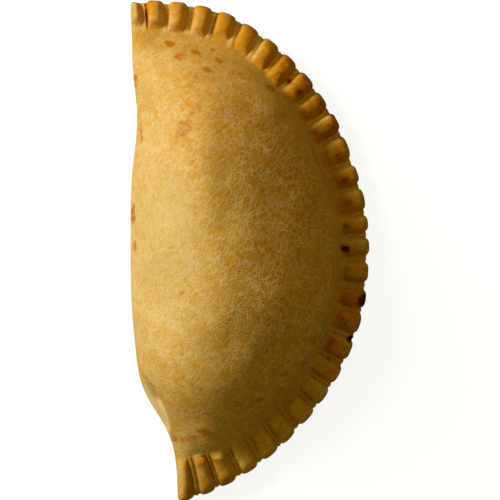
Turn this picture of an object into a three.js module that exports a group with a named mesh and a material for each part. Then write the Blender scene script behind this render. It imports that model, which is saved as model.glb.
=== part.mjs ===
// A baked Cornish pasty: one solid half-moon of shortcrust pastry, domed over its filling, folded over along
// one long side and crimped along the curved side.
//
// Millimetres, +Z up. The pasty lies on its flat base at z = 0. X runs across it, from the fold (-X) to the
// crimp (+X), and Y runs along it, from the tail (-Y) to the nose (+Y). The whole shape follows from two
// distances: how far a plan point lies inside the crimped rim, and how far it lies inside the fold.

import * as THREE from "three";

const { degToRad, lerp, smoothstep } = THREE.MathUtils;

// Plan: the crimped rim swings round a point just behind the fold, which is a nearly straight line.
const SWING_X = -53.2; // centre of the rim's arc, on the X axis
const RIM_RADIUS = 98.9;
const RIM_FLARE = 1.8; // extra radius towards the nose and the tail
const RIM_BULGE = { height: 0.75, from: degToRad(4), to: degToRad(14) }; // fuller on the tail's half
const RIM_SAGS = [
  { depth: -0.55, at: degToRad(20), reach: degToRad(7) },
  { depth: -0.5, at: degToRad(-43), reach: degToRad(6) },
];
const NOSE_TRIM = { depth: 5.5, from: degToRad(60), to: degToRad(86) }; // the rim drops back at the nose
const FOLD_X = -45.05;
const WAIST = { depth: 2.4, at: 48, reach: 17 }; // a shallow hollow in the fold's line
const TUCK = { depth: 17.5, y: -61.5, softness: 6.5 }; // the fold slants in towards the tail
const TUCK_EASE = { depth: 1.45, at: -42, reach: 17 };
const NOSE_SPREAD = { width: 0.5, from: 78, to: 90 }; // the fold steps out again at the nose
const CORNER_ROUND = 3; // where the rim meets the fold

// Crimp: lobes pressed side by side and no two alike, with a low rib left in the grooves towards the tail.
// Each lobe takes up its own share of the rim, in degrees, from the nose to the tail.
const LOBE_PITCHES = [
  5.0, 5.0, 5.5, 5.5, 5.8, 5.7, 5.5, 5.4, 5.6, 5.5, 5.7, 6.8, 5.5, 6.2, 5.0,
  5.3, 6.0, 5.8, 6.1, 5.9, 6.0, 5.6, 6.0, 5.5, 5.5, 5.3, 5.5, 4.6, 6.7,
];
const LOBES = LOBE_PITCHES.length;
const NOSE_GROOVE = degToRad(86.65);
const LOBE_RISE = 3.2;
const LOBE_SHARE = 0.71; // share of the pitch that a lobe takes up
const LOBE_ARCH = 2.4; // 2 would give a lobe an elliptical section; more flattens its crest
const LOBE_LEAN = { angle: degToRad(10), at: degToRad(70) }; // the end lobes lean off the radius
const LOBE_MIDDLE = 5; // depth in from the rim at which the grooves stand at their own bearings
const RIB = { least: 0.1, most: 0.32, from: 15, to: 21, half: 0.07 }; // shares of the rise and of the pitch
const SCALLOP = 1.2; // each groove bites this far into the rim
const BAND = { width: 10.8, widens: 2.2, from: degToRad(10), to: degToRad(60) };
const FLAP = { widens: 4.5, from: degToRad(58), to: degToRad(73) }; // the longest lobes, at the tail
const HEAP = { rise: 2.5, from: degToRad(46), to: degToRad(66) }; // those lobes slope up to the dome
const BAND_FADE = { before: 3.5, after: 1 }; // the lobes die away across the band's inner edge

// Section: heights above the base, and the roundings of its edges.
const CROWN = 42;
const CROWN_FALL = { share: 0.22, half: 95 }; // the crown's line sinks towards both ends
const BAND_Z = 4.6; // floor of the grooves
const LIP = { z: 3, round: 2.6, under: 2 }; // the rim's widest level, its rounding above and below
const WALL = { z: 12.5, round: 15, under: 5 }; // the same along the fold, where the dough wraps round
const DOME_RUN = 45; // from the crimp's band up to the crown
const DOME_POWERS = { across: 1.8, up: 0.55 }; // a steep foot and a broad crown
const VALLEY = { width: 7, from: degToRad(38), to: degToRad(72) }; // flat dough inside the nose's crimp
const TOE = { sharp: 1.5, soft: 4, before: 2.5, after: 4 }; // fillet where the dome leaves the band
const SOFT_NOSE = { from: degToRad(15), to: degToRad(45) };
const SOFT_TAIL = { from: degToRad(45), to: degToRad(65) };
const FOLD_RUN = 34; // from the fold in to the crown
const FOLD_SHARE = 0.36; // how high the dome already stands over the fold
const WANDERS = [
  { depth: 4.5, at: -19, reach: 13 },
  { depth: -3.5, at: 38, reach: 16 },
  { depth: 3, at: -62, reach: 14 },
]; // how far the crown strays towards the rim where the filling lies heavier or lighter

// Beside the tail the upper dough stops short of the lower, which leaves a ledge with a dimple in it.
const LEDGE = { width: 5.2, before: 0.6, after: 0.5, share: 0.52, full: 2.5 }; // share of height cut away
const LEDGE_WIDENS = { from: 45, to: 53 }; // distances towards the tail
const LEDGE_NARROWS = { from: 57, to: 75 };
const LEDGE_SINKS = { from: 46, to: 57 };
const DIMPLE = { depth: 1.3, at: new THREE.Vector2(-34.2, -57), turn: degToRad(-56.5), long: 3.6, short: 1.5 };
const DIMPLE_BEGINS = { from: 0.5, to: 2 }; // distances in from the outline

// Grid: columns run from the outline in to the middle, rows run round.
const MIDDLE = new THREE.Vector2(-8, 0);
const LOBE_COLUMNS = [0, 0.1, 0.17, 0.3, 0.5, 0.7, 0.83, 0.9]; // shares of the pitch
const COARSE = 2; // the dome and the base use every second column
const FOLD_COLUMNS = 44; // a multiple of COARSE
const EDGE_ROWS = [0, 0.5, 1.3, 2.6, 4.4, 6.6, 9, 11.2, 13.4, 15.8, 18.6]; // distances in from the outline
const DOME_ROWS = 7;
const BASE_ROWS = 3;
const BASE_INSET = 6.5; // the last of them lies on the flat base
const OUTLINE_ERROR = 1e-6;
const HANDLE = { most: 0.4, least: 1, onRim: 0.5, onFold: 0.15, middle: 0.3 }; // a column's straight start

const bump = (value, { depth, at, reach }) => depth * Math.exp(-(((value - at) / reach) ** 2));
const bumps = (value, list) => list.reduce((sum, one) => sum + bump(value, one), 0);
const step = (value, { from, to }) => smoothstep(value, from, to);

// Bearings of the grooves round the swing's centre, from the nose to the tail.
const GROOVES = [NOSE_GROOVE];
for (const pitch of LOBE_PITCHES) GROOVES.push(GROOVES[GROOVES.length - 1] - degToRad(pitch));

// X of the fold's outline at a given Y.
function foldLine(y) {
  const slant = TUCK.depth / (1 + Math.exp((y - TUCK.y) / TUCK.softness));
  return FOLD_X + bump(y, WAIST) + bump(y, TUCK_EASE) - NOSE_SPREAD.width * step(y, NOSE_SPREAD) + slant;
}

// Sideways run of a lobe for each millimetre in from the rim.
function leanAt(angle) {
  return Math.tan(Math.sign(angle) * LOBE_LEAN.angle * (angle / LOBE_LEAN.at) ** 2);
}

// Where a plan point lies in the crimp's row of lobes: whole numbers are the middles of the grooves.
function crimpPhase(angle, depth) {
  const bearing = angle + (leanAt(angle) * (depth - LOBE_MIDDLE)) / RIM_RADIUS;
  const next = GROOVES.findIndex((groove) => groove < bearing);
  if (next === 0) return 0;
  if (next < 0) return LOBES;
  return next - (bearing - GROOVES[next]) / (GROOVES[next - 1] - GROOVES[next]);
}

// Height of the pressed pattern across one pitch, from 0 in the groove to 1 on a lobe's crest.
function lobeSection(phase) {
  const across = phase - Math.floor(phase);
  const fromCrest = Math.abs(across - 0.5) / (LOBE_SHARE / 2);
  const lobe = fromCrest < 1 ? Math.sqrt(1 - fromCrest ** LOBE_ARCH) : 0;
  const fromGroove = Math.min(across, 1 - across);
  const rib = lerp(RIB.least, RIB.most, step(phase, RIB));
  return Math.max(lobe, rib * Math.max(1 - fromGroove / RIB.half, 0));
}

function rimRadius(angle) {
  const trim = NOSE_TRIM.depth * smoothstep(angle, NOSE_TRIM.from, NOSE_TRIM.to);
  const bulge = RIM_BULGE.height * step(-angle, RIM_BULGE) + bumps(angle, RIM_SAGS);
  return RIM_RADIUS + RIM_FLARE * Math.sin(angle) ** 2 - trim + bulge;
}

// The distances that shape everything: in from the smooth rim, in from the fold, in from the outline.
function insets(x, y) {
  const angle = Math.atan2(y, x - SWING_X);
  const fromRim = rimRadius(angle) - Math.hypot(x - SWING_X, y);
  const fromFold = x - foldLine(y);
  const bitten = fromRim - SCALLOP * (1 - lobeSection(crimpPhase(angle, 0)));
  const overlap = Math.max(CORNER_ROUND - Math.abs(bitten - fromFold), 0);
  const edge = Math.min(bitten, fromFold) - overlap ** 2 / (4 * CORNER_ROUND);
  return { y, angle, fromRim, fromFold, edge };
}

function bandWidth(angle) {
  return BAND.width + BAND.widens * step(-angle, BAND) + FLAP.widens * step(-angle, FLAP);
}

const rise = (share) => Math.sin((Math.PI / 2) * Math.min(share, 1));

// Share of the dome's full height that the distance from the crimp's band allows: 0 on the band, 1 inside.
function domeShare({ y, angle, fromRim }) {
  const beyond = fromRim - bandWidth(angle) - VALLEY.width * step(angle, VALLEY);
  const gentle = step(angle, SOFT_NOSE) + step(-angle, SOFT_TAIL);
  const softened = (beyond + Math.hypot(beyond, lerp(TOE.sharp, TOE.soft, gentle))) / 2;
  const toCrown = 1 - Math.min(softened / (DOME_RUN - bumps(y, WANDERS)), 1);
  const foot = lerp(smoothstep(beyond, -TOE.before, TOE.after), 1, gentle);
  return (1 - toCrown ** DOME_POWERS.across) ** DOME_POWERS.up * foot;
}

// A quarter round: 0 at the edge, 1 from the given reach inwards.
function quarter(distance, reach) {
  const left = 1 - THREE.MathUtils.clamp(distance / reach, 0, 1);
  return Math.sqrt(1 - left * left);
}

// 1 on the strip of lower dough that shows beside the tail, 0 off it.
function onLedge({ y, fromFold }) {
  const width = LEDGE.width * step(-y, LEDGE_WIDENS) * (1 - step(-y, LEDGE_NARROWS));
  const inner = smoothstep(fromFold, width - LEDGE.before, width + LEDGE.after);
  return (1 - inner) * step(-y, LEDGE_SINKS) * smoothstep(width, 0, LEDGE.full);
}

// Height of the top surface at a plan point.
function topHeight(x, y) {
  const place = insets(x, y);
  const dome = domeShare(place);
  const overFold = lerp(FOLD_SHARE, 1, rise(place.fromFold / (FOLD_RUN + bumps(y, WANDERS))));
  const crown = (CROWN - BAND_Z) * (1 - CROWN_FALL.share * (y / CROWN_FALL.half) ** 2);
  const band = bandWidth(place.angle);
  const onBand = 1 - smoothstep(place.fromRim, band - BAND_FADE.before, band + BAND_FADE.after);
  const lobes = LOBE_RISE * onBand * lobeSection(crimpPhase(place.angle, place.fromRim));
  const heap = HEAP.rise * step(-place.angle, HEAP) * THREE.MathUtils.clamp(place.fromRim / band, 0, 1);
  const surface = BAND_Z + lobes + heap + crown * dome * overFold;
  const level = lerp(LIP.z, WALL.z, dome);
  const round = quarter(place.edge, lerp(LIP.round, WALL.round, dome));
  const inDimple = new THREE.Vector2(x, y).rotateAround(DIMPLE.at, -DIMPLE.turn).sub(DIMPLE.at);
  const dimple = Math.exp(-((inDimple.x / DIMPLE.long) ** 2) - (inDimple.y / DIMPLE.short) ** 2);
  const aboveLevel = Math.max(surface - level, 0) * round * (1 - LEDGE.share * onLedge(place));
  return level + aboveLevel - DIMPLE.depth * dimple * step(place.edge, DIMPLE_BEGINS);
}

// Height of the underside near the outline: it curls up to meet the widest level.
function underHeight(x, y) {
  const place = insets(x, y);
  const dome = domeShare(place);
  return lerp(LIP.z, WALL.z, dome) * (1 - quarter(place.edge, lerp(LIP.under, WALL.under, dome)));
}

// The outline's point on a ray from the middle that passes through the given plan point.
function outlinePoint(x, y) {
  const ray = new THREE.Vector2(x, y).sub(MIDDLE).normalize();
  const point = new THREE.Vector2();
  let inside = 0;
  let outside = RIM_RADIUS + CORNER_ROUND;
  while (outside - inside > OUTLINE_ERROR) {
    const reach = (inside + outside) / 2;
    point.copy(MIDDLE).addScaledVector(ray, reach);
    if (insets(point.x, point.y).edge > 0) inside = reach;
    else outside = reach;
  }
  return point;
}

// Columns start on the outline: a fixed number to each lobe from the nose to the tail, then back up the fold.
function outlineColumns() {
  const points = [];
  const onRim = (phase) => {
    const lobe = Math.min(Math.floor(phase), LOBES - 1);
    const bearing = lerp(GROOVES[lobe], GROOVES[lobe + 1], phase - lobe);
    const angle = bearing + (leanAt(bearing) * LOBE_MIDDLE) / RIM_RADIUS;
    return outlinePoint(SWING_X + RIM_RADIUS * Math.cos(angle), RIM_RADIUS * Math.sin(angle));
  };
  for (let lobe = 0; lobe < LOBES; lobe++) {
    for (const share of LOBE_COLUMNS) points.push(onRim(lobe + share));
  }
  const tail = onRim(LOBES);
  const nose = onRim(0);
  for (let i = 0; i < FOLD_COLUMNS; i++) {
    const y = lerp(tail.y, nose.y, i / FOLD_COLUMNS);
    points.push(outlinePoint(foldLine(y), y));
  }
  return points;
}

// Direction in which a column leaves the outline: along the lobes, or across from the fold, or in between.
function inward({ angle, fromRim, fromFold }) {
  const lean = leanAt(angle);
  const rimWeight = Math.exp(-fromRim / CORNER_ROUND);
  const foldWeight = Math.exp(-fromFold / CORNER_ROUND);
  const alongLobe = new THREE.Vector2(
    lean * Math.sin(angle) - Math.cos(angle),
    -lean * Math.cos(angle) - Math.sin(angle),
  );
  return alongLobe.multiplyScalar(rimWeight).add(new THREE.Vector2(foldWeight, 0)).normalize();
}

// A column's path in plan: straight in from the outline, then curving to the middle.
function columnCurve(start) {
  const place = insets(start.x, start.y);
  const span = start.distanceTo(MIDDLE);
  const byCorner = HANDLE.least + HANDLE.onRim * place.fromFold + HANDLE.onFold * place.fromRim;
  const handle = Math.min(HANDLE.most * span, byCorner);
  const nearEdge = start.clone().addScaledVector(inward(place), handle);
  const nearMiddle = MIDDLE.clone().lerp(start, HANDLE.middle);
  return new THREE.CubicBezierCurve(start, nearEdge, nearMiddle, MIDDLE);
}

function pastyGeometry() {
  const curves = outlineColumns().map(columnCurve);
  const count = curves.length;
  const positions = [];
  const index = [];
  const ring = (columns, fraction, height) =>
    columns.map((curve) => {
      const p = curve.getPointAt(fraction(curve));
      return positions.push(p.x, p.y, height(p.x, p.y)) / 3 - 1;
    });
  const coarse = curves.filter((_, i) => i % COARSE === 0);
  const outer = EDGE_ROWS.map((depth) => ring(curves, (c) => depth / c.getLength(), topHeight));
  const last = EDGE_ROWS[EDGE_ROWS.length - 1];
  const inner = [];
  for (let row = 1; row <= DOME_ROWS; row++) {
    const share = row / (DOME_ROWS + 1);
    inner.push(ring(coarse, (c) => lerp(last / c.getLength(), 1, share), topHeight));
  }
  const under = [];
  for (let row = 1; row <= BASE_ROWS; row++) {
    const depth = BASE_INSET * (row / BASE_ROWS) ** 2;
    const height = row < BASE_ROWS ? underHeight : () => 0;
    under.push(ring(row < BASE_ROWS ? curves : coarse, (c) => depth / c.getLength(), height));
  }
  const top = positions.push(MIDDLE.x, MIDDLE.y, topHeight(MIDDLE.x, MIDDLE.y)) / 3 - 1;
  const bottom = positions.push(MIDDLE.x, MIDDLE.y, 0) / 3 - 1;

  // Strips between rings of one size, each quad cut along its shorter diagonal; strips between a fine ring
  // and a coarse one; and fans from a ring to its middle.
  const face = (flip, a, b, c) => index.push(...(flip ? [a, c, b] : [a, b, c]));
  const point = (i) => new THREE.Vector3().fromArray(positions, 3 * i);
  const apart = (i, j) => point(i).distanceTo(point(j));
  const strip = (a, b, flip) =>
    a.forEach((_, i) => {
      const j = (i + 1) % a.length;
      const [from, to] = apart(a[i], b[j]) < apart(a[j], b[i]) ? [a[i], b[j]] : [a[j], b[i]];
      face(flip, a[i], a[j], to);
      face(flip, from, b[j], b[i]);
    });
  const stitch = (fine, few, flip) =>
    few.forEach((here, i) => {
      const next = few[(i + 1) % few.length];
      const first = i * COARSE;
      const half = fine[first + 1];
      face(flip, fine[first], half, here);
      face(flip, here, half, next);
      face(flip, half, fine[(first + COARSE) % count], next);
    });
  const fan = (a, tip, flip) => a.forEach((here, i) => face(flip, here, a[(i + 1) % a.length], tip));

  const upper = true; // the columns run clockwise, so the upper side's faces are turned over
  outer.slice(1).forEach((row, i) => strip(outer[i], row, upper));
  stitch(outer[outer.length - 1], inner[0], upper);
  inner.slice(1).forEach((row, i) => strip(inner[i], row, upper));
  fan(inner[inner.length - 1], top, upper);
  strip(outer[0], under[0], !upper);
  under.slice(1, -1).forEach((row, i) => strip(under[i], row, !upper));
  stitch(under[under.length - 2], under[under.length - 1], !upper);
  fan(under[under.length - 1], bottom, !upper);

  const geometry = new THREE.BufferGeometry();
  geometry.setAttribute("position", new THREE.Float32BufferAttribute(positions, 3));
  geometry.setIndex(index);
  geometry.computeVertexNormals();
  return geometry;
}

// The origin is the middle of the footprint's box, on the base.
function centred(geometry) {
  geometry.computeBoundingBox();
  const middle = geometry.boundingBox.getCenter(new THREE.Vector3());
  return geometry.translate(-middle.x, -middle.y, 0);
}

const shortcrust = new THREE.MeshStandardMaterial({ color: 0xd9a860, roughness: 0.75, metalness: 0 });

const pasty = new THREE.Mesh(centred(pastyGeometry()), shortcrust);
pasty.name = "pasty";

const part = new THREE.Group();
part.add(pasty);

export default part;
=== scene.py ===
# %% [markdown]
# # A Cornish pasty
# A pasty is a disc of shortcrust folded over its filling and crimped shut along the round side. This lesson
# builds it as one closed surface worked out with numpy, bakes its colour into a few attributes, and lights it
# on a pale floor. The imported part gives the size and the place.

import math

import bpy
import numpy as np
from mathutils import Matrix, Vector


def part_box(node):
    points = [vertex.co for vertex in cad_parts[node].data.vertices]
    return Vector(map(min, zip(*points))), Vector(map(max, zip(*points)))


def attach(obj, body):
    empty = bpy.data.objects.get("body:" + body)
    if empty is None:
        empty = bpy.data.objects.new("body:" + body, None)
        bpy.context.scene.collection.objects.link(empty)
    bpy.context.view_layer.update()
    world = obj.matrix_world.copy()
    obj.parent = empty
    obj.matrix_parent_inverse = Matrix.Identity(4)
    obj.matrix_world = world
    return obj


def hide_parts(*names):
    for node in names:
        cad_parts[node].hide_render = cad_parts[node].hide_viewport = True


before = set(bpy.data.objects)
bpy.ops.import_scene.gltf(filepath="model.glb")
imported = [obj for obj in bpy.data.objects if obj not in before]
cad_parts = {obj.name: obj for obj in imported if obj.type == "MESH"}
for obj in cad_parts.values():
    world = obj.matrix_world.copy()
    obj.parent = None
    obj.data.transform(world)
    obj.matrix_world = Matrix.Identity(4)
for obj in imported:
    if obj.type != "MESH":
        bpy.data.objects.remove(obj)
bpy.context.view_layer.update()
low, high = (np.array(corner) * 1000 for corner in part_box("pasty"))  # metres to millimetres
CROWN = high[2]
CENTRE_X, CENTRE_Y = (low[:2] + high[:2]) / 2
print("pasty box, mm:", (high - low).round(1))

# %% [markdown]
# ## Small helpers
# Everything below is arithmetic on whole arrays, in millimetres. An eased step and a rounded hump shape most
# of it. Baking is never even, so a smooth random field is needed too: random heights on a cubic lattice,
# blended with an eased weight. It is seeded, so it is the same in each run.


# %% Steps, humps and random fields
def ease(value, start, stop):
    """0 before start, 1 after stop, and 3s^2 - 2s^3 of the way s in between."""
    s = np.clip((value - start) / (stop - start), 0, 1)
    return s * s * (3 - 2 * s)


def hump(value, middle, reach):
    """A rounded hill: exp(-((value - middle) / reach)^2)."""
    return np.exp(-(((value - middle) / reach) ** 2))


def mix(a, b, share):
    """a where share is 0, b where it is 1."""
    return a + (b - a) * share


LATTICE = 64


def field(points, cell, seed):
    """Smooth random hills from -1 to 1 about one cell wide: lattice heights blended on all three axes."""
    table = np.random.default_rng(seed).uniform(-1, 1, (LATTICE, LATTICE, LATTICE))
    scaled = points / np.asarray(cell)
    base = np.floor(scaled).astype(int)
    part = scaled - base
    weight = part * part * (3 - 2 * part)
    total = np.zeros(points.shape[:-1])
    for step in np.ndindex(2, 2, 2):
        at = (base + step) % LATTICE
        near = np.where(step, weight, 1 - weight).prod(axis=-1)
        total += near * table[at[..., 0], at[..., 1], at[..., 2]]
    return total


def ridged(points, cell, seed):
    """Thin ridges from 0 to 1: 1 - |field| pressed to a sharper line."""
    return np.clip(1 - 2.2 * np.abs(field(points, cell, seed)), 0, 1) ** 2


# %% [markdown]
# ## The plan
# Seen from above, the crimped rim swings round a point just behind the fold, and the fold is a nearly
# straight line that slants in towards the tail. Two distances then say where a point lies: how far in from
# the rim and how far in from the fold. Working the whole surface out from those two keeps every roll of dough
# parallel to its own edge, which a stretched ball or a subdivided box wouldn't do.

# %% The fold's line
FOLD_X = -45.05
WAISTS = [(2.4, 48, 17), (1.45, -42, 17)]  # depth, middle along Y and reach of each shallow hollow
TUCK_DEPTH, TUCK_Y, TUCK_SOFTNESS = 17.5, -61.5, 6.5  # the slant in to the tail
NOSE_SPREAD = 0.5


def fold_line(y):
    """X of the fold: a straight line with shallow hollows, and a slant inwards at the tail."""
    slant = TUCK_DEPTH / (1 + np.exp((y - TUCK_Y) / TUCK_SOFTNESS))
    hollows = sum(depth * hump(y, middle, reach) for depth, middle, reach in WAISTS)
    return FOLD_X + hollows - NOSE_SPREAD * ease(y, 78, 90) + slant


# %% The rim's radius
SWING_X = -53.2  # centre of the rim's arc, on the X axis
RIM_RADIUS = 98.9
RIM_FLARE = 1.8
NOSE_TRIM = 5.5
TAIL_BULGE = 0.75
RIM_SAGS = [(0.55, 20, 7), (0.5, -43, 6)]  # depth, middle and reach, the last two in degrees
CORNER_ROUND = 3.0  # where the rim meets the fold


def rim_radius(angle):
    """A circle that flares by sin^2 towards both ends, drops back at the nose, and bulges and sags."""
    degrees = np.degrees(angle)
    trim = NOSE_TRIM * ease(degrees, 60, 86)
    sags = sum(depth * hump(degrees, middle, reach) for depth, middle, reach in RIM_SAGS)
    return RIM_RADIUS + RIM_FLARE * np.sin(angle) ** 2 - trim + TAIL_BULGE * ease(-degrees, 4, 14) - sags


# %% [markdown]
# ## The crimp
# Each lobe is one pinch of dough rolled over the last, so no two are alike. A phase counts the pitches round
# the rim: whole numbers are the grooves, and halves are the crests. A baker's thumb gives each lobe its own
# share of the rim, and seeded draws give it a little height, width, shift and length of its own. Towards the
# tail a low rib stands in the grooves, where the two edges meet.

# %% Lobes and grooves
NOSE_GROOVE = 86.65  # degrees round the swing centre
# Each lobe from nose to tail: its pitch in degrees, how brown its crest is, how brown the crease at its foot.
LOBE_TABLE = np.array([
    (5.0, 0.45, 0.0), (5.0, 0.40, 1.0), (5.5, 0.40, 0.5), (5.5, 0.45, 0.7), (5.8, 0.56, 1.0),
    (5.7, 0.62, 0.9), (5.5, 0.66, 0.3), (5.4, 0.74, 0.6), (5.6, 0.72, 0.3), (5.5, 0.80, 0.1),
    (5.7, 0.70, 0.0), (6.8, 0.55, 0.0), (5.5, 0.50, 0.0), (6.2, 0.48, 0.0), (5.0, 0.48, 0.0),
    (5.3, 0.50, 0.0), (6.0, 0.60, 0.0), (5.8, 0.72, 0.5), (6.1, 0.72, 0.4), (5.9, 0.60, 0.0),
    (6.0, 0.48, 0.2), (5.6, 0.38, 0.0), (6.0, 0.30, 0.0), (5.5, 0.32, 0.0), (5.5, 0.32, 0.0),
    (5.3, 0.34, 0.0), (5.5, 0.46, 0.0), (4.6, 0.36, 0.0), (6.7, 0.50, 0.5),
])  # fmt: skip
LOBES = len(LOBE_TABLE)
lobe_pitch, lobe_tan, lobe_crease = LOBE_TABLE.T
grooves = np.radians(NOSE_GROOVE - np.concatenate([[0], np.cumsum(lobe_pitch)]))

print(LOBES, "lobes, average pitch", round(float(np.radians(lobe_pitch.mean())) * RIM_RADIUS, 1), "mm")

# %% What differs from lobe to lobe
LOBE_RISE = 3.2
LOBE_SHARE = 0.71  # share of the pitch that a lobe takes up
lobe_rng = np.random.default_rng(11)
lobe_height = 1 + 0.10 * lobe_rng.standard_normal(LOBES).clip(-2, 2)
lobe_width = LOBE_SHARE * (1 + 0.04 * lobe_rng.standard_normal(LOBES).clip(-2, 2))
lobe_shift = 0.02 * lobe_rng.standard_normal(LOBES).clip(-2, 2)
lobe_reach = 0.6 * lobe_rng.standard_normal(LOBES).clip(-2, 2)
print("lobe heights, mm:", np.sort(LOBE_RISE * lobe_height)[[0, -1]].round(1))

# %% The crimp's pattern
LOBE_MIDDLE = 5.0  # depth in from the rim at which the grooves stand at their listed bearings
LOBE_LEAN, LEAN_AT = math.radians(10), math.radians(70)
LOBE_ARCH = 2.4  # 2 would give a lobe an elliptical section; more flattens its crest
RIB_LOW, RIB_HIGH, RIB_HALF = 0.10, 0.32, 0.055  # shares of the rise and of the pitch


def lean_at(angle):
    """Sideways run of a lobe for each millimetre in: the end lobes lean 10 degrees off the radius."""
    return np.tan(np.sign(angle) * LOBE_LEAN * (angle / LEAN_AT) ** 2)


def crimp_phase(angle, depth):
    """Lobes counted from the nose's corner, for a point at an angle round the swing centre and a depth in."""
    bearing = angle + lean_at(angle) * (depth - LOBE_MIDDLE) / RIM_RADIUS
    return np.interp(-bearing, -grooves, np.arange(LOBES + 1.0))


def lobe_section(phase):
    """Height across a lobe, 0 to 1: an arch (1 - s^2.4)^0.5, and a low rib in the groove towards the tail."""
    lobe = np.clip(np.floor(phase), 0, LOBES - 1).astype(int)
    across = phase - np.floor(phase)
    off_crest = np.abs(across - 0.5 - lobe_shift[lobe]) / (lobe_width[lobe] / 2)
    arch = np.sqrt(1 - np.clip(off_crest, 0, 1) ** LOBE_ARCH) * lobe_height[lobe]
    off_groove = np.minimum(across, 1 - across)
    rib = mix(RIB_LOW, RIB_HIGH, ease(phase, 15, 21))
    return np.maximum(arch, rib * hump(off_groove, 0, RIB_HALF))


BAND_WIDTH, BAND_WIDENS, FLAP_WIDENS = 10.8, 2.2, 4.5


def band_width(angle):
    """The crimp is wider towards the tail, and widest in the flap at its tip."""
    down = -np.degrees(angle)
    return BAND_WIDTH + BAND_WIDENS * ease(down, 10, 60) + FLAP_WIDENS * ease(down, 58, 73)


# %% [markdown]
# ## Heights
# The dome has a steep foot and a broad crown on the crimp's side, and stands a third high already over the
# fold, where the dough wraps round in a fat roll. Both edges are rounded with quarter circles, small under
# the crimp and large on the fold. Beside the tail the upper dough stops short and shows a ledge of the lower
# sheet.

# %% Named heights and runs of the section
BAND_Z = 4.6  # floor of the grooves
DOME_RUN, FOLD_RUN = 45.0, 34.0  # from the crimp's band and from the fold in to the crown
FOLD_SHARE = 0.36  # how high the dome already stands over the fold
CROWN_FALL, HALF_LENGTH = 0.22, 95  # the crown's line sinks towards both ends
FOOT_POWER, CROWN_POWER = 0.55, 1.8
VALLEY = 7  # flat dough inside the nose's crimp
TOE_SHARP, TOE_SOFT = 1.5, 4  # fillet where the dome leaves the band
SCALLOP = 1.2  # each groove bites this far into the rim
LIP_Z, LIP_ROUND, LIP_UNDER = 3.0, 2.9, 2.0  # widest level of the rim, its rounding above and below
WALL_Z, WALL_ROUND, WALL_UNDER = 12.5, 15.0, 5.0  # the same along the fold
WANDERS = [(4.5, -19, 13), (-3.5, 38, 16), (3.0, -62, 14)]  # depth, middle along Y and reach

# %% Distances and the dome's share


def wander(y):
    """How far the crown's ridge strays towards the rim, where the filling lies heavier or lighter."""
    return sum(depth * hump(y, middle, reach) for depth, middle, reach in WANDERS)


def place(x, y):
    """Angle, distances in from the smooth rim, the fold and the outline, and the dome's share of height."""
    angle = np.arctan2(y, x - SWING_X)
    from_rim = rim_radius(angle) - np.hypot(x - SWING_X, y)
    from_fold = x - fold_line(y)
    bitten = from_rim - SCALLOP * (1 - np.clip(lobe_section(crimp_phase(angle, 0)), 0, 1))
    overlap = np.clip(CORNER_ROUND - np.abs(bitten - from_fold), 0, None)
    edge = np.minimum(bitten, from_fold) - overlap**2 / (4 * CORNER_ROUND)
    degrees = np.degrees(angle)
    beyond = from_rim - band_width(angle) - VALLEY * ease(degrees, 38, 72)
    gentle = ease(degrees, 15, 45) + ease(-degrees, 45, 65)
    softened = (beyond + np.hypot(beyond, mix(TOE_SHARP, TOE_SOFT, gentle))) / 2
    to_crown = 1 - np.clip(softened / (DOME_RUN - wander(y)), 0, 1)
    dome = (1 - to_crown**CROWN_POWER) ** FOOT_POWER * mix(ease(beyond, -2.5, 4), 1, gentle)
    return angle, from_rim, from_fold, edge, dome


def quarter(distance, reach):
    """A quarter round: 0 at the edge, 1 from the given reach inwards."""
    return np.sqrt(1 - (1 - np.clip(distance / reach, 0, 1)) ** 2)


# %% Ledge and dimple beside the tail
LEDGE_WIDTH, LEDGE_CUT = 5.2, 0.52  # the share of the height over the lip that is cut away
DIMPLE_X, DIMPLE_Y, DIMPLE_DEPTH = -34.2, -57, 1.3
DIMPLE_LONG, DIMPLE_SHORT = 3.6, 1.5
DIMPLE_TURN = math.radians(-56.5)


def on_ledge(y, from_fold):
    """1 on the strip of lower dough that shows beside the tail, widest at its nose end, and 0 off it."""
    width = LEDGE_WIDTH * ease(-y, 45, 53) * (1 - ease(-y, 57, 75))
    return (1 - ease(from_fold, width - 0.6, width + 0.5)) * ease(-y, 46, 57) * ease(width, 0.3, 2.5)


def in_dimple(x, y):
    """1 in the middle of the dimple: a rounded hollow, longer along the fold than across it."""
    dx, dy = x - DIMPLE_X, y - DIMPLE_Y
    along = dx * math.cos(DIMPLE_TURN) + dy * math.sin(DIMPLE_TURN)
    off = dy * math.cos(DIMPLE_TURN) - dx * math.sin(DIMPLE_TURN)
    return hump(along, 0, DIMPLE_LONG) * hump(off, 0, DIMPLE_SHORT)


# %% Upper and lower surface
HEAP_RISE = 2.5  # the flap's lobes slope up to the dome


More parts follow.
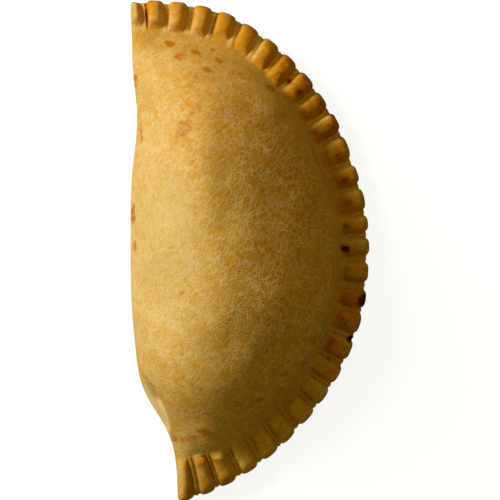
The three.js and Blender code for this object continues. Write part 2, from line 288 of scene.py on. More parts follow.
def top_height(x, y):
    """Band, lobes and dome added up, then rounded down to the widest level along the outline."""
    angle, from_rim, from_fold, edge, dome = place(x, y)
    over_fold = mix(FOLD_SHARE, 1, np.sin(np.pi / 2 * np.clip(from_fold / (FOLD_RUN + wander(y)), 0, 1)))
    crown = (CROWN - BAND_Z) * (1 - CROWN_FALL * (y / HALF_LENGTH) ** 2)
    phase = crimp_phase(angle, from_rim)
    lobe = np.clip(np.floor(phase), 0, LOBES - 1).astype(int)
    band = band_width(angle) + lobe_reach[lobe]
    on_band = 1 - ease(from_rim, band - 3.5, band + 1)
    lobes = LOBE_RISE * on_band * lobe_section(phase)
    heaped = HEAP_RISE * ease(-np.degrees(angle), 46, 66) * np.clip(from_rim / band, 0, 1)
    surface = BAND_Z + lobes + heaped + crown * dome * over_fold
    level = mix(LIP_Z, WALL_Z, dome)
    over_level = np.clip(surface - level, 0, None) * quarter(edge, mix(LIP_ROUND, WALL_ROUND, dome))
    dimple = DIMPLE_DEPTH * in_dimple(x, y) * ease(edge, 0.5, 2)
    return level + over_level * (1 - LEDGE_CUT * on_ledge(y, from_fold)) - dimple


def under_height(x, y):
    """The underside is flat on the tray and curls up to the widest level at the outline."""
    *_, edge, dome = place(x, y)
    return mix(LIP_Z, WALL_Z, dome) * (1 - quarter(edge, mix(LIP_UNDER, WALL_UNDER, dome)))


# %% [markdown]
# ## The grid
# Slices run across the pasty from the fold to the rim, one after another from the nose to the tail, and each
# slice goes on round underneath and closes on itself. The slices shrink to a point at both tips. They leave
# the rim along the lobes and reach the fold square to it, on cubic curves, so that the crimp isn't cut askew.

# %% Rays and even spreads
SLICES = 600
MIDDLE_X = -8.0  # every point of the outline is seen from here
OUTSIDE = 130.0  # well past the outline
HALVINGS = 40
FINE_STEPS = 20001
TIP_STEPS = 2001


def spread(start, stop, count, density):
    """count values from start to stop, closer where density is high: even steps of its running total."""
    fine = np.linspace(start, stop, FINE_STEPS)
    total = np.concatenate([[0], np.cumsum(density((fine[1:] + fine[:-1]) / 2))])
    return np.interp(np.linspace(0, total[-1], count), total, fine)


def outline(bearing):
    """Where rays from the middle leave the plan, found by halving between inside and outside."""
    inside, outside = np.zeros_like(bearing), np.full_like(bearing, OUTSIDE)
    for _ in range(HALVINGS):
        reach = (inside + outside) / 2
        x, y = MIDDLE_X + reach * np.cos(bearing), reach * np.sin(bearing)
        within = place(x, y)[3] > 0
        inside, outside = np.where(within, reach, inside), np.where(within, outside, reach)
    return np.stack([x, y], axis=-1)


def tip(start, stop):
    """The outline's point between two bearings that lies as near the rim as the fold."""
    points = outline(np.radians(np.linspace(start, stop, TIP_STEPS)))
    _, from_rim, from_fold, _, _ = place(points[:, 0], points[:, 1])
    return points[np.argmin(np.abs(from_rim - from_fold))]


# %% Where the slices start and end
CROWDING = 0.5  # slices stand closer on the lobes' flanks
nose, tail = tip(100, 125), tip(-115, -90)
nose_phase, tail_phase = (crimp_phase(np.arctan2(p[1], p[0] - SWING_X), 0) for p in (nose, tail))
rim_phase = spread(nose_phase, tail_phase, SLICES + 1, lambda k: 1 + CROWDING * np.cos(2 * np.pi * k))[1:-1]
rim_bearing = np.interp(rim_phase, np.arange(LOBES + 1.0), grooves)
rim_angle = rim_bearing + lean_at(rim_bearing) * LOBE_MIDDLE / RIM_RADIUS
rim_x, rim_y = SWING_X + RIM_RADIUS * np.cos(rim_angle), RIM_RADIUS * np.sin(rim_angle)
rim = outline(np.arctan2(rim_y, rim_x - MIDDLE_X))
fold_y = np.linspace(nose[1], tail[1], SLICES + 1)[1:-1]
fold = outline(np.arctan2(fold_y, fold_line(fold_y) - MIDDLE_X))
print("nose", nose.round(1), "tail", tail.round(1), "lobes between", nose_phase.round(2), tail_phase.round(2))

# %% Rows round each slice
FOLD_ROWS, DOME_ROWS, RIM_ROWS = 32, 94, 12
UNDER_RIM_ROWS, BASE_ROWS, UNDER_FOLD_ROWS = 6, 8, 8
MOST_BY_FOLD, MOST_BY_RIM = 0.4, 0.2  # most of a slice that its rounded edges may take up

chord = np.linalg.norm(rim - fold, axis=1)[:, None]
fold_dome = place(fold[:, 0], fold[:, 1])[4][:, None]


def slice_shares(fold_reach, rim_reach, counts):
    """Shares of the way from fold to rim: steps of 1 - cos(a) at both rounded edges, even ones between."""
    fold_rows, even_rows, rim_rows = counts
    near_fold = np.minimum(fold_reach / chord, MOST_BY_FOLD)
    near_rim = np.minimum(rim_reach / chord, MOST_BY_RIM)
    rounding = 1 - np.cos(np.linspace(0, np.pi / 2, fold_rows))
    closing = 1 - np.cos(np.linspace(np.pi / 2, 0, rim_rows))
    even = np.linspace(0, 1, even_rows + 2)[1:-1]
    between = near_fold + (1 - near_rim - near_fold) * even
    return np.concatenate([near_fold * rounding, between, 1 - near_rim * closing], axis=1)


over = slice_shares(mix(LIP_ROUND, WALL_ROUND, fold_dome), LIP_ROUND, (FOLD_ROWS, DOME_ROWS, RIM_ROWS))
under = slice_shares(
    mix(LIP_UNDER, WALL_UNDER, fold_dome), LIP_UNDER, (UNDER_FOLD_ROWS, BASE_ROWS, UNDER_RIM_ROWS)
)[:, 1:-1][:, ::-1]
share = np.concatenate([over, under], axis=1)[..., None]
print("rows above", over.shape[1], "and below", under.shape[1])

# %% Slices as cubic curves
HANDLE = 0.34  # length of a curve's straight start, as a share of its slice
lean = lean_at(rim_angle)
along_lobe = np.stack(
    [lean * np.sin(rim_angle) - np.cos(rim_angle), -lean * np.cos(rim_angle) - np.sin(rim_angle)], axis=-1
)
fold_handle = fold + HANDLE * chord * np.array([1.0, 0.0])
rim_handle = rim + HANDLE * chord * along_lobe
plan = (
    fold[:, None] * (1 - share) ** 3
    + 3 * fold_handle[:, None] * (1 - share) ** 2 * share
    + 3 * rim_handle[:, None] * (1 - share) * share**2
    + rim[:, None] * share**3
)
above, below = plan[:, : over.shape[1]], plan[:, over.shape[1] :]
height = np.concatenate(
    [top_height(above[..., 0], above[..., 1]), under_height(below[..., 0], below[..., 1])], axis=1
)
ring = plan.shape[1]
print("slices", plan.shape[0], "rows round each", ring)


# %% Points and faces
def tip_point(point):
    """A tip is a single point at the lip's widest level."""
    return np.array([[*point, LIP_Z]])


grid = np.concatenate([plan, height[..., None]], axis=2).reshape(-1, 3)
points = np.concatenate([grid, tip_point(nose), tip_point(tail)])
box_shift = np.array([CENTRE_X, CENTRE_Y]) - (points[:, :2].max(0) + points[:, :2].min(0)) / 2
points[:, :2] += box_shift

slices = plan.shape[0]
here = np.arange(slices * ring).reshape(slices, ring)
after = np.roll(here, -1, axis=1)
quads = np.stack([here[:-1], here[1:], after[1:], after[:-1]], axis=-1).reshape(-1, 4)
nose_fan = np.stack([np.full(ring, len(grid)), here[0], after[0]], axis=-1)
tail_fan = np.stack([np.full(ring, len(grid) + 1), after[-1], here[-1]], axis=-1)
print("points", len(points), "plan moved by", box_shift.round(2), "mm to share the part's box")


# %% One closed mesh
MM = 0.001  # Blender works in metres


def make_mesh(name, verts_mm, quads, triangles):
    """A mesh in metres from arrays of corners, shaded smooth."""
    mesh = bpy.data.meshes.new(name)
    mesh.vertices.add(len(verts_mm))
    mesh.vertices.foreach_set("co", (verts_mm * MM).astype(np.float32).ravel())
    corners = np.concatenate([quads.ravel(), triangles.ravel()])
    starts = np.concatenate(
        [np.arange(len(quads)) * 4, len(quads) * 4 + np.arange(len(triangles)) * 3]
    )
    mesh.loops.add(len(corners))
    mesh.loops.foreach_set("vertex_index", corners.astype(np.int32))
    mesh.polygons.add(len(starts))
    mesh.polygons.foreach_set("loop_start", starts.astype(np.int32))
    mesh.polygons.foreach_set("use_smooth", np.ones(len(starts), dtype=bool))
    mesh.update(calc_edges=True)
    mesh.validate()
    return mesh


pasty_mesh = make_mesh("pasty_crust", points, quads, np.concatenate([nose_fan, tail_fan]))
normals = np.empty(len(points) * 3, dtype=np.float32)
pasty_mesh.vertices.foreach_get("normal", normals)
normals = normals.reshape(-1, 3).astype(float)
crown_normal = normals[np.argmax(points[:, 2])]
print("triangles", len(quads) * 2 + 2 * ring, "crown normal", crown_normal.round(2))

# %% [markdown]
# ## Lumps and wrinkles
# The filling pushes the dome up unevenly, and it settles into a few shallow hollows. The crust dries into a
# net of fine wrinkles as it bakes. All are moved along the surface's own normal. Wrinkles under half a
# millimetre are left to the bump in the crust material, because the grid's cells are about that size.

# %% Lumps of the filling
angle, from_rim, from_fold, _, dome = place(points[:, 0], points[:, 1])
upper = np.zeros(len(points))
upper[: len(grid)].reshape(slices, ring)[:, : over.shape[1]] = 1
off_band = ease(from_rim, 9, 16)

# Height, middle in X and Y, reach in X and Y.
HILLS = [(-0.8, 12, 18, 13, 20), (-1.0, 24, 6, 11, 16), (-1.5, -11, -35, 10, 12), (0.5, -12, 22, 9, 14)]
lumps = 0.6 * field(points, 19, 21) + 0.35 * field(points, 9, 22)
for rise, hill_x, hill_y, reach_x, reach_y in HILLS:
    lumps += rise * hump(points[:, 0], hill_x, reach_x) * hump(points[:, 1], hill_y, reach_y)
lumps *= ease(from_fold, 0.5, 9)
print("lumps from", lumps.min().round(2), "to", lumps.max().round(2), "mm")

# %% Wrinkles and pinches
turned = points @ np.array([[0.7, -0.7, 0], [0.7, 0.7, 0], [0, 0, 1.0]])  # wrinkles run askew
wrinkles = 0.04 * ridged(turned, [4.0, 2.2, 2.6], 31) + 0.02 * ridged(turned, [1.8, 1.2, 1.4], 32)
pinches = 0.12 * field(points, 2.2, 33) * ease(dome + from_rim, 0.4, 2.5)
shift = upper * mix(pinches, lumps + wrinkles, off_band)
points = points + normals * shift[:, None]
points[:, 2] = np.clip(points[:, 2], 0, CROWN)
pasty_mesh.vertices.foreach_set("co", (points * MM).astype(np.float32).ravel())
pasty_mesh.update()
print("moved by", shift.min().round(2), "to", shift.max().round(2), "mm")

# %% [markdown]
# ## Baking marks and painted shading
# An oven browns what stands up: the crests of the crimp, and the dome on the side that faced the heat, which
# is also the side away from the key light, so the browning there is partly painted shade. The grooves and the
# valley beside the crimp stay pale. Some marks below are painted light and shade outright. The marks are kept
# as numbers on the vertices, so that they follow the surface and come along with the mesh. The number for
# browning runs from raw dough at 0 to deep brown at 1, and the painted light and shade are added into it.

# %% Where each point lies in the crimp
phase = crimp_phase(angle, np.clip(from_rim, 0, None))
lobe = np.clip(np.floor(phase), 0, LOBES - 1).astype(int)
across = phase - np.floor(phase)
band = band_width(angle)
on_band = (1 - ease(from_rim, band - 1.5, band + 1.5)) * ease(from_fold, 1, 5)
x, y = points[:, 0], points[:, 1]
degrees = np.degrees(angle)
crest = np.clip(lobe_section(phase), 0, 1)
print("points on the crimp", int((on_band > 0.5).sum()))

# %% Browning of the dome, with painted shade and light
patches = 0.5 * field(points, 14, 41) + 0.35 * field(points, 6, 42) + 0.25 * field(points, 2.6, 43)
# Browner towards the crimp: partly real browning, partly painted shade on the side away from the key light.
# The fold's side is paler along the middle: partly painted light where the key light falls fullest.
bake = 0.24 + 0.27 * ease(x, -30, 12) + 0.08 * patches
bake -= 0.16 * np.exp(-(((y + 2) / 44) ** 4)) * (1 - ease(x, -24, 6))
# Painted shade: browner over the upper right of the dome, where it slopes away from the key light. The second
# term makes the fold's side paler towards the nose.
bake += 0.09 * hump(x, 12, 24) * hump(y, 42, 24) - 0.08 * hump(x, -36, 9) * hump(y, 42, 24)
print("dome baked from", bake.min().round(2), "to", bake.max().round(2))

# %% Browning of the crimp and the valley beside it, with painted light at the nose
PALE = 0.28  # how far the grooves and the valley baked
tan = lobe_tan[lobe] + 0.18 * field(points, 3.0, 44) * crest + 0.2 * ease(-degrees, 58, 70)
# The grooves bake to PALE, and towards the nose they go paler down to raw dough: that paler part is painted
# light over the shade that falls in the deep grooves.
groove_bake_and_painted_light = PALE * (1 - ease(degrees, 35, 60))
# Painted light: the crimp is made paler near the inner ends of the nose's lobes, where the key light leaves
# them in shade.
nose_feet_painted_light = 0.25 * ease(degrees, 50, 65) * hump(from_rim, 9, 5)
bake = mix(bake, mix(groove_bake_and_painted_light, tan, crest**0.8) - nose_feet_painted_light, on_band)
valley = hump(from_rim, band + 4, 4) * ease(degrees, 5, 45) + 0.4 * hump(from_rim, band + 1.6, 1.6)
valley = np.clip(valley, 0, 1)
bake = mix(bake, PALE, valley * (1 - on_band) * 0.8)

# %% Brown creases at the foot of the lobes
CREASE_OFF, CREASE_HALF, WIDEST_CREASE = 0.07, 0.085, 0.12  # shares of the pitch
foot = 0.5 + lobe_shift[lobe] - lobe_width[lobe] / 2 - CREASE_OFF
crease_half = np.where(lobe == 1, WIDEST_CREASE, CREASE_HALF)
crease = lobe_crease[lobe] * hump(across, foot, crease_half) * on_band
uneven = np.clip(crease * (1.0 + 0.3 * field(points, 3, 45)), 0, 1)
bake = mix(bake, 1.0, uneven * (1 - 0.5 * ease(from_rim, 8, 12)))
print("deepest crease", uneven.max().round(2))

# %% [markdown]
# ## Spots
# Egg and butter brown faster where they gather, and the filling scorches where it leaks through the crimp.
# Each spot is an ellipse with a ragged edge: its place in X and Y, half length, half width, turn in degrees
# and depth from 0 to 1 are given.

# %% Spots and scorches
BROWN_SPOTS = [
    (36.8, 9.3, 2.2, 1.5, 10, 0.9), (36.0, 27.0, 2.2, 1.8, 0, 0.9), (33.9, 36.6, 2.4, 1.6, 30, 0.8),
    (32.2, 47.5, 4.0, 1.4, 50, 0.8), (37.6, 18.5, 2.0, 1.3, 0, 0.75), (31.9, -34.5, 2.4, 1.5, -30, 0.85),
    (14.7, 64.4, 1.9, 1.2, -35, 0.85), (7.6, 61.0, 2.0, 1.3, -40, 0.8), (14.6, 58.3, 1.2, 0.9, 0, 0.6),
    (-30.7, 78.5, 2.2, 1.6, -20, 0.7), (-26.2, 73.1, 2.6, 1.6, 10, 0.7), (-20.1, 74.7, 2.2, 1.2, -15, 0.75),
    (-14.3, 76.1, 0.9, 0.8, 0, 0.6), (-11.6, 71.5, 1.8, 1.0, -30, 0.75), (-16.0, 67.6, 2.6, 1.1, -20, 0.7),
    (-20.1, 64.7, 1.4, 0.8, 0, 0.55), (-4.0, 66.0, 4.6, 1.8, -30, 0.45), (-24.2, 45.0, 4.5, 2.4, 60, 0.5),
    (-20.0, 52.0, 3.0, 1.6, 40, 0.45), (0.5, -20.7, 0.9, 0.8, 0, 0.7), (-24.9, -15.1, 1.2, 0.8, 40, 0.5),
    (-20.1, -23.5, 1.4, 0.7, 20, 0.45), (-39.5, -46.9, 2.0, 0.9, -40, 0.35), (-43.6, 65.2, 0.8, 3.0, 5, 0.8),
    (-40.9, 44.3, 0.6, 4.5, 0, 0.6), (-44.3, 13.8, 1.4, 3.4, 0, 0.85), (-43.5, 1.7, 1.0, 2.0, 0, 0.6),
    (-17.0, -67.7, 2.8, 1.5, -10, 1.0), (-23.1, -70.4, 3.2, 1.4, 10, 0.8), (-28.9, -70.8, 1.4, 1.4, 0, 0.85),
    (-13.4, -78.9, 1.0, 0.7, 0, 0.8), (2.8, -55.8, 2.6, 0.9, 20, 0.85), (-3.6, -57.4, 1.8, 1.4, 0, 0.6),
    (-23.5, -90.5, 2.0, 2.6, 0, 0.6), (25.2, 34.5, 0.6, 5.6, 22, 0.85), (28.0, 27.6, 0.5, 2.6, 12, 0.8),
    (24.4, -33.4, 0.7, 3.0, -15, 0.6), (19.8, -42.9, 0.7, 3.0, -30, 0.6),
]  # fmt: skip
SCORCHES = [
    (36.0, 1.0, 2.2, 1.6, -20, 1.0), (43.1, -18.5, 1.9, 3.0, -12, 1.0), (38.3, -33.4, 2.0, 1.4, 30, 1.0),
    (29.8, -41.2, 0.6, 0.5, 0, 1.0), (31.0, 51.9, 1.3, 0.8, -50, 0.9), (34.9, 43.4, 1.0, 0.7, -60, 0.8),
    (-17.7, -77.6, 1.1, 0.8, 0, 0.7), (26.6, 52.5, 1.2, 0.6, 50, 0.5),
]  # fmt: skip


def spots(marks, raggedness):
    """The strongest of the ellipses at each point: 1 inside, fading over a rim that a field ruffles."""
    push = raggedness * (field(points, 1.1, 51) + 0.6 * field(points, 2.3, 52))
    strongest = np.zeros(len(points))
    for mark_x, mark_y, half_x, half_y, turn, depth in marks:
        c, s = math.cos(math.radians(turn)), math.sin(math.radians(turn))
        dx, dy = x - mark_x, y - mark_y
        away = np.hypot((c * dx + s * dy) / half_x, (c * dy - s * dx) / half_y) + push
        strongest = np.maximum(strongest, depth * (1 - ease(away, 0.55, 1.25)))
    return strongest


brown = spots(BROWN_SPOTS, 0.35) * upper
scorch = spots(SCORCHES, 0.25)
print(len(BROWN_SPOTS), "brown spots and", len(SCORCHES), "scorches")

# %% [markdown]
# ## Kinds of dough
# The same heat colours the dough in different ways. Spots on the crimp go plain brown, while those on the
# dome stay amber. The ledge was covered, so it is nearly raw, and it is painted paler still as painted light.
# The valley inside the crimp dries out pale, pinkish at the nose and sallow elsewhere. The nose's lobes get a
# bright orange tint that is painted light. Flecks lie thickest where the egg was brushed twice, and on the
# nose's crests they are laid on thicker as painted light. Veins are where the dried net of wrinkles shows.

# %% Spots, ledge and underside
UNDERSIDE_BAKE = 0.62
on_crust = ease(from_rim, band - 1, band + 1)
amber = np.clip(1.4 * brown, 0, 1) * on_crust
bake = mix(bake, 0.84, np.clip(1.15 * brown, 0, 1) * (1 - on_crust))
ledge = on_ledge(y, from_fold) * upper
# The ledge is pale lower dough, and it is painted paler still: painted light over the shade that the fold's
# wall leaves there.
bake = mix(bake, 0.0, 0.9 * ledge)
underside = (1 - upper) * (1 - ease(points[:, 2], 1.5, 9))
bake = mix(np.clip(bake, 0, 1), UNDERSIDE_BAKE + 0.12 * field(points, 9, 47), underside)
print("bake from", bake.min().round(2), "to", bake.max().round(2))

# %% Valley and nose
flat = np.clip(on_band + underside + valley + ledge, 0, 1)
in_valley = valley * (1 - on_band) * (1 - brown)
blush = in_valley * ease(degrees, 30, 60)
sallow = 0.5 * in_valley * (1 - ease(degrees, 30, 60))
sallow += 0.2 * ease(x, -12, 8) * ease(-y, -5, 25) * (1 - flat)
sallow += 0.6 * on_band * ease(-degrees, 60, 72)
# Painted light: a bright orange tint over the nose's lobes, most on their crests, brightening lobes that the
# key light leaves darker than the rest.
gilt = on_band * ease(degrees, 40, 72) * (0.4 + 0.6 * crest) * (1 - np.clip(crease, 0, 1))

# %% Flecks and veins
# How thick the flecks lie, middle in X and Y, reach in X and Y.
FLECK_ZONES = [(0.80, -17, 56, 15, 22), (0.10, -12, 30, 12, 20), (1.0, -22, -56, 13, 15)]
fleck = 0.16 + 0.40 * ease(x, -8, 22) + 0.35 * field(points, 8, 48)
for thick, zone_x, zone_y, reach_x, reach_y in FLECK_ZONES:
    fleck += thick * hump(x, zone_x, reach_x) * hump(y, zone_y, reach_y)
# On the crimp the flecks follow the crests; towards the nose they thicken on the crests as painted light.
fleck = fleck * (1 - flat) + (0.35 + 0.65 * ease(degrees, 55, 70)) * on_band * crest
fleck = np.clip(fleck, 0, 1)
veins = (1 - flat) * (0.5 + 0.5 * ease(x, -25, 12))

# %% Numbers that the crust material reads
MARKS = {
    "bake": bake, "scorch": scorch, "veins": veins, "sallow": sallow, "fleck": fleck,
    "blush": blush, "amber": amber, "raw": ledge, "gilt": gilt,
}  # fmt: skip


def store(mesh, name, values):
    """Puts one number on each vertex under a name that a material can read."""
    layer = mesh.attributes.new(name, "FLOAT", "POINT")
    layer.data.foreach_set("value", values.astype(np.float32))


for name, values in MARKS.items():
    store(pasty_mesh, name, values)
    print(name, "from", values.min().round(2), "to", values.max().round(2))

# %% [markdown]
# ## The crust material
# Baked shortcrust is flour and fat: matt, and coloured from cream through gold to brown by how far it baked.
# Its finest pattern is a net of pale raised wrinkles round darker cells one or two millimetres across, drawn
# out along the way the sheet was rolled. Fat isn't spread evenly, so the colour is also richer in some places
# than in others. The pattern reads Object coordinates, so it stays put on the crust from every side.


# %% Colours and nodes
def linear(code):
    """An sRGB hex colour as linear RGBA."""
    channels = np.array([int(code[i : i + 2], 16) for i in (1, 3, 5)]) / 255
    curve = np.where(channels <= 0.04045, channels / 12.92, ((channels + 0.055) / 1.055) ** 2.4)
    return (*curve.tolist(), 1.0)


def add(tree, kind, settings=None, inputs=None):
    """Adds a node, sets its own settings, and sets or links its inputs. A link is a pair: (node, output)."""
    node = tree.nodes.new(kind)
    for key, value in (settings or {}).items():
        setattr(node, key, value)
    for key, value in (inputs or {}).items():
        socket = next(s for s in node.inputs if key in (s.identifier, s.name))
        if isinstance(value, tuple) and isinstance(value[0], bpy.types.Node):
            source, output = value
            tree.links.new(next(s for s in source.outputs if output in (s.identifier, s.name)), socket)
        else:
            socket.default_value = value
    return node


def new_material(name):
    """An empty material and its node tree."""
    material = bpy.data.materials.new(name)
    material.use_nodes = True
    material.node_tree.nodes.clear()
    return material, material.node_tree


# %% Patterns in the crust
crust, tree = new_material("baked_shortcrust")
coords = add(tree, "ShaderNodeTexCoord")


def read(name):
    """The number stored on the mesh under this name."""
    return add(tree, "ShaderNodeAttribute", {"attribute_name": name}), "Fac"


def noise(size_mm, detail, vector=(coords, "Object")):
    """Soft random clouds about this many millimetres across."""
    settings = {"Vector": vector, "Scale": 1 / (size_mm * MM), "Detail": detail}
    return add(tree, "ShaderNodeTexNoise", None, settings)


def span(source, start, stop, low, high):
    """Eases a value from low to high while it runs from start to stop."""
    ends = {"Value": source, "From Min": start, "From Max": stop, "To Min": low, "To Max": high}
    return add(tree, "ShaderNodeMapRange", {"interpolation_type": "SMOOTHSTEP"}, ends), "Result"


def combine(operation, *values):
    """One step of arithmetic on two or three values."""
    slots = ("Value", "Value_001", "Value_002")
    return add(tree, "ShaderNodeMath", {"operation": operation}, dict(zip(slots, values))), "Value"


# %% Patterns drawn out along the rolling
ROLLED = math.radians(38)  # the way the sheet was rolled, round from the pasty's X axis
NET_STRETCH, STREAK_STRETCH = 2.2, 4.0
RAGGED = 1.4  # how far the net's lines stray, as a share of a cell


def drawn_out(vector, stretch, seed_shift=0.0):
    """Coordinates in which a pattern comes out longer along the rolling by this factor."""
    frame_of_cells = {"Location": (seed_shift, 0.0, 0.0), "Rotation": (0.0, 0.0, ROLLED)}
    inputs = {"Vector": vector, "Scale": (stretch, 1.0, 1.0), **frame_of_cells}
    return add(tree, "ShaderNodeMapping", {"vector_type": "TEXTURE"}, inputs)


def fibres(size_mm, half_width, seed_shift):
    """A net of thin lines round stretched cells: 1 on a line, 0 off it."""
    stray = {"Vector": (noise(size_mm * 0.9, 4.0), "Color"), "Vector_001": (size_mm * MM * RAGGED,) * 3}
    stray["Vector_002"] = (coords, "Object")
    drift = add(tree, "ShaderNodeVectorMath", {"operation": "MULTIPLY_ADD"}, stray)
    turned = drawn_out((drift, "Vector"), NET_STRETCH, seed_shift)
    cells = {"Vector": (turned, "Vector"), "Scale": 1 / (size_mm * MM)}
    net = add(tree, "ShaderNodeTexVoronoi", {"feature": "DISTANCE_TO_EDGE"}, cells)
    return span((net, "Distance"), 0.0, half_width, 1.0, 0.0)


# %% Net, streaks, grain, flecks and blotches
wide_net = combine("MULTIPLY", fibres(2.0, 0.12, 0.0), span((noise(6.0, 2.0), "Fac"), 0.38, 0.56, 0.3, 1.0))
close_net = combine("MULTIPLY", fibres(1.1, 0.16, 0.3), span((noise(4.0, 2.0), "Fac"), 0.42, 0.60, 0.1, 0.8))
streaks = noise(1.0, 3.0, (drawn_out((coords, "Object"), STREAK_STRETCH), "Vector"))
lines = combine("MULTIPLY", combine("MAXIMUM", wide_net, close_net), read("veins"))

grain = noise(0.62, 3.0)
flecks_and_painted_light = combine("MULTIPLY", span((noise(2.0, 4.0), "Fac"), 0.47, 0.60, 0.0, 1.0), read("fleck"))
blotches = span((noise(4.5, 4.0), "Fac"), 0.34, 0.66, -0.06, 0.07)

# %% Browning, from raw to burnt
browning = combine("ADD", read("bake"), blotches)
coarseness = span(read("veins"), 0.4, 1.0, 1.0, 1.7)
browning = combine("MULTIPLY_ADD", span((grain, "Fac"), 0.30, 0.70, -0.12, 0.12), coarseness, browning)
browning = combine("ADD", browning, span((streaks, "Fac"), 0.32, 0.68, -0.07, 0.07))
ramp = add(tree, "ShaderNodeValToRGB", None, {"Fac": browning})
BAKE_STOPS = [
    (0.0, "#E0C488"), (0.25, "#D2A955"), (0.5, "#C28E32"),
    (0.7, "#BE7A14"), (0.86, "#A5620C"), (1.0, "#6C2A04"),
]  # fmt: skip
stops = ramp.color_ramp.elements
for at, code in BAKE_STOPS[1:-1]:
    stops.new(at)
for stop, (at, code) in zip(stops, BAKE_STOPS):
    stop.position = at
    stop.color = linear(code)


# %% Other colours of the dough, laid over the browning
def tint(base, share, code):
    """Blends a colour towards another by a share."""
    blend = {"A_Color": base, "B_Color": linear(code), "Factor_Float": share}
    return add(tree, "ShaderNodeMix", {"data_type": "RGBA"}, blend), "Result_Color"


mottled = combine("MULTIPLY", span((noise(1.6, 4.0), "Fac"), 0.30, 0.55, 0.55, 1.0), read("amber"))
LAYERS = [
    (combine("MULTIPLY", read("sallow"), 0.55), "#B7985F"),
    (combine("MULTIPLY", read("blush"), 0.25), "#C39157"),
    # The ledge's pale tint: partly its raw dough, partly painted light.
    (combine("MULTIPLY", read("raw"), 0.7), "#EED8A6"),
    # flecks, which on the nose's crests are partly painted light
    (combine("MULTIPLY", flecks_and_painted_light, 0.7), "#D48A18"),
    # painted light on the nose's lobes
    (combine("MULTIPLY", read("gilt"), 0.42), "#E29C34"),
    (mottled, "#BA6C06"),
    (combine("MULTIPLY", lines, 0.95), "#E0C590"),
]
colour = ramp, "Color"
for layer_share, code in LAYERS:
    colour = tint(colour, layer_share, code)

# Fat makes the colour up to a tenth richer where it gathers; the scorches lie over everything.
fat = span((noise(1.5, 4.0), "Fac"), 0.28, 0.72, 0.95, 1.11)
rich = add(tree, "ShaderNodeHueSaturation", None, {"Color": colour, "Saturation": fat})
colour = tint((rich, "Color"), read("scorch"), "#500A01")
print("layers of colour", len(LAYERS), "nodes", len(tree.nodes))

# %% Relief and gloss
WRINKLE_HEIGHT = 0.16 * MM
height_map = combine("MULTIPLY_ADD", (grain, "Fac"), 0.5, lines)
bump_inputs = {"Height": height_map, "Distance": WRINKLE_HEIGHT, "Strength": 0.8}
relief = add(tree, "ShaderNodeBump", None, bump_inputs)
# Flour scatters light: the crust is matt, with an oil's index and hardly any gloss.
matt = {"Roughness": 0.7, "IOR": 1.45, "Specular IOR Level": 0.1}
pastry_inputs = {"Base Color": colour, "Normal": (relief, "Normal"), **matt}
pastry = add(tree, "ShaderNodeBsdfPrincipled", None, pastry_inputs)
add(tree, "ShaderNodeOutputMaterial", None, {"Surface": (pastry, "BSDF")})

# %% [markdown]
# ## Joining it to the part
# The crust stands for the part's one solid: it rides on the root body and replaces the plain node.

# %% The finished pasty
pasty_mesh.materials.append(crust)
pasty = bpy.data.objects.new("pasty_crust", pasty_mesh)
bpy.context.scene.collection.objects.link(pasty)
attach(pasty, "root")
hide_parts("pasty")

# %% [markdown]
# ## Floor, light and camera
# The floor is a sheet of white acrylic lit a little from behind, which keeps it white beside the food. The
# key softbox stands low on the fold's side, a little towards the nose, so that it rakes over the dome and
# leaves the crimp in half shade. A weak warm softbox beyond the nose and a warm room fill the shadows. The
# camera looks straight down with a long lens.

# %% White floor
FLOOR_HALF = 1500.0
floor_corners = FLOOR_HALF * np.array([[-1, -1, 0], [1, -1, 0], [1, 1, 0], [-1, 1, 0]])
floor_mesh = make_mesh("floor", floor_corners, np.array([[0, 1, 2, 3]]), np.zeros((0, 3), dtype=int))
acrylic, tree = new_material("backlit_white_acrylic")
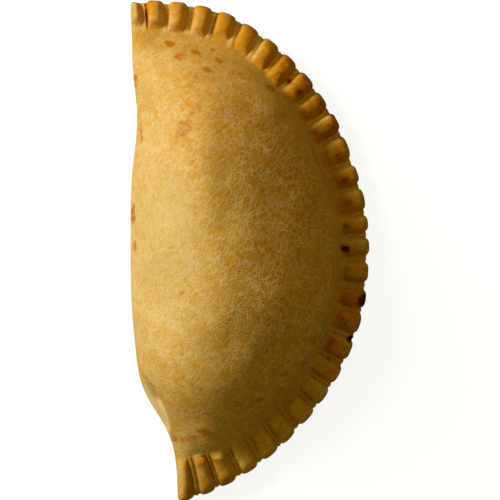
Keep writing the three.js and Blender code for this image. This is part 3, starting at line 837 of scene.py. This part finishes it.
# The acrylic returns over a quarter of the light on it and glows nearly white by itself.
glow = {"Emission Color": linear("#FFFFFF"), "Emission Strength": 0.88}
sheet_inputs = {"Base Color": linear("#909090"), "Roughness": 0.9, **glow}
sheet = add(tree, "ShaderNodeBsdfPrincipled", None, sheet_inputs)
add(tree, "ShaderNodeOutputMaterial", None, {"Surface": (sheet, "BSDF")})
floor_mesh.materials.append(acrylic)
floor = bpy.data.objects.new("floor", floor_mesh)
bpy.context.scene.collection.objects.link(floor)

# The sheet's own glow lights the sheet only, as a flag round the food would have it.
glow_reaches = bpy.data.collections.new("glow_reaches")
glow_reaches.objects.link(floor)
floor.light_linking.receiver_collection = glow_reaches

# %% Two softboxes
SOFTBOX_AWAY = 1.2  # metres


def softbox(name, side, watts, colour, azimuth, elevation):
    """A square area light at a bearing and elevation in degrees from the pasty, turned towards it."""
    light = bpy.data.lights.new(name, "AREA")
    light.shape = "SQUARE"
    light.size = side
    light.energy = watts
    light.color = colour
    box = bpy.data.objects.new(name, light)
    bpy.context.scene.collection.objects.link(box)
    azimuth, elevation = math.radians(azimuth), math.radians(elevation)
    level = SOFTBOX_AWAY * math.cos(elevation)
    box.location = [level * math.cos(azimuth), level * math.sin(azimuth), SOFTBOX_AWAY * math.sin(elevation)]
    box.rotation_euler = (math.pi / 2 - elevation, 0, azimuth + math.pi / 2)


softbox("key_softbox", side=0.42, watts=14.0, colour=(1.0, 0.95, 0.84), azimuth=151, elevation=30)
softbox("fill_softbox", side=0.8, watts=1.1, colour=(1.0, 0.60, 0.12), azimuth=75, elevation=38)

# %% Warm room
world = bpy.data.worlds.new("warm_room")
world.use_nodes = True
bpy.context.scene.world = world
background = world.node_tree.nodes["Background"]
background.inputs["Color"].default_value = (1.0, 0.84, 0.15, 1.0)
background.inputs["Strength"].default_value = 0.19

# %% Camera
LENS, SENSOR = 135.0, 36.0
FRAME_SIDE = 191.4  # millimetres across the picture at the lip's level
AIM = np.array([0.05, -0.96]) + box_shift  # nearly the middle of the pasty
camera_data = bpy.data.cameras.new("overhead")
camera_data.lens = LENS
camera_data.sensor_width = SENSOR
camera = bpy.data.objects.new("overhead", camera_data)
bpy.context.scene.collection.objects.link(camera)
camera.location = np.array([*AIM, LIP_Z + FRAME_SIDE * LENS / SENSOR]) * MM
bpy.context.scene.camera = camera
bpy.context.scene.view_settings.view_transform = "Standard"
print("camera height", round(camera.location.z, 3), "m")
